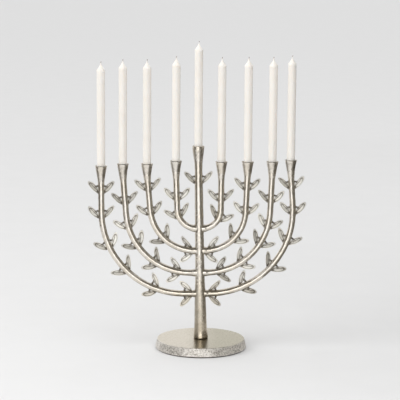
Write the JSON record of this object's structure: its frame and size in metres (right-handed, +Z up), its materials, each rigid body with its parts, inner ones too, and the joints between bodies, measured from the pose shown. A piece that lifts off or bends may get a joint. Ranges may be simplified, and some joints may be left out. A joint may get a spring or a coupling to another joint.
{
  "type": "menorah",
  "caption": "Branching candle tree with curved leafy cast-metal arms, a taller centre stem, flared candle cups and slim ivory candles on a round base.",
  "frame": {"origin": "middle of the face that rests on the table, on the stem's axis", "axes": "+Z up along the stem, +X towards the right arms, +Y to the back; the tree of arms lies in the XZ plane"},
  "size_m": [0.3055, 0.1286, 0.4334],
  "materials": {
    "cast_metal": "satin cast aluminium with a warm antique nickel tone, darker in its pits",
    "leaf_metal": "satin cast aluminium, dark between the veins",
    "base_metal": "softly polished top, rough sand-cast edge",
    "felt": "matt wool felt",
    "steel": "plain zinc-plated steel",
    "wax": "smooth ivory wax",
    "wick": "braided cotton"
  },
  "bodies": {
    "stand": {"base_plate": "base_metal", "felt_pad": "felt", "base_screw": "steel", "base_washer": "steel", "stem": "cast_metal", "stem_leaves": "leaf_metal", "arm_inner_left": "cast_metal", "arm_second_left": "cast_metal", "arm_third_left": "cast_metal", "arm_outer_left": "cast_metal", "arm_inner_right": "cast_metal", "arm_second_right": "cast_metal", "arm_third_right": "cast_metal", "arm_outer_right": "cast_metal", "leaves_inner_left": "leaf_metal", "leaves_second_left": "leaf_metal", "leaves_third_left": "leaf_metal", "leaves_outer_left": "leaf_metal", "leaves_inner_right": "leaf_metal", "leaves_second_right": "leaf_metal", "leaves_third_right": "leaf_metal", "leaves_outer_right": "leaf_metal"},
    "candle_centre": {"candle_centre": "wax", "wick_centre": "wick"},
    "candle_inner_left": {"candle_inner_left": "wax", "wick_inner_left": "wick"},
    "candle_second_left": {"candle_second_left": "wax", "wick_second_left": "wick"},
    "candle_third_left": {"candle_third_left": "wax", "wick_third_left": "wick"},
    "candle_outer_left": {"candle_outer_left": "wax", "wick_outer_left": "wick"},
    "candle_inner_right": {"candle_inner_right": "wax", "wick_inner_right": "wick"},
    "candle_second_right": {"candle_second_right": "wax", "wick_second_right": "wick"},
    "candle_third_right": {"candle_third_right": "wax", "wick_third_right": "wick"},
    "candle_outer_right": {"candle_outer_right": "wax", "wick_outer_right": "wick"}
  },
  "joints": [
    {"name": "lift_centre", "type": "slide", "parent": "stand", "child": "candle_centre", "axis": [0, 0, 1], "range_m": [0, 0.03]},
    {"name": "lift_inner_left", "type": "slide", "parent": "stand", "child": "candle_inner_left", "axis": [0, 0, 1], "range_m": [0, 0.03]},
    {"name": "lift_second_left", "type": "slide", "parent": "stand", "child": "candle_second_left", "axis": [0, 0, 1], "range_m": [0, 0.03]},
    {"name": "lift_third_left", "type": "slide", "parent": "stand", "child": "candle_third_left", "axis": [0, 0, 1], "range_m": [0, 0.03]},
    {"name": "lift_outer_left", "type": "slide", "parent": "stand", "child": "candle_outer_left", "axis": [0, 0, 1], "range_m": [0, 0.03]},
    {"name": "lift_inner_right", "type": "slide", "parent": "stand", "child": "candle_inner_right", "axis": [0, 0, 1], "range_m": [0, 0.03]},
    {"name": "lift_second_right", "type": "slide", "parent": "stand", "child": "candle_second_right", "axis": [0, 0, 1], "range_m": [0, 0.03]},
    {"name": "lift_third_right", "type": "slide", "parent": "stand", "child": "candle_third_right", "axis": [0, 0, 1], "range_m": [0, 0.03]},
    {"name": "lift_outer_right", "type": "slide", "parent": "stand", "child": "candle_outer_right", "axis": [0, 0, 1], "range_m": [0, 0.03]}
  ]
}
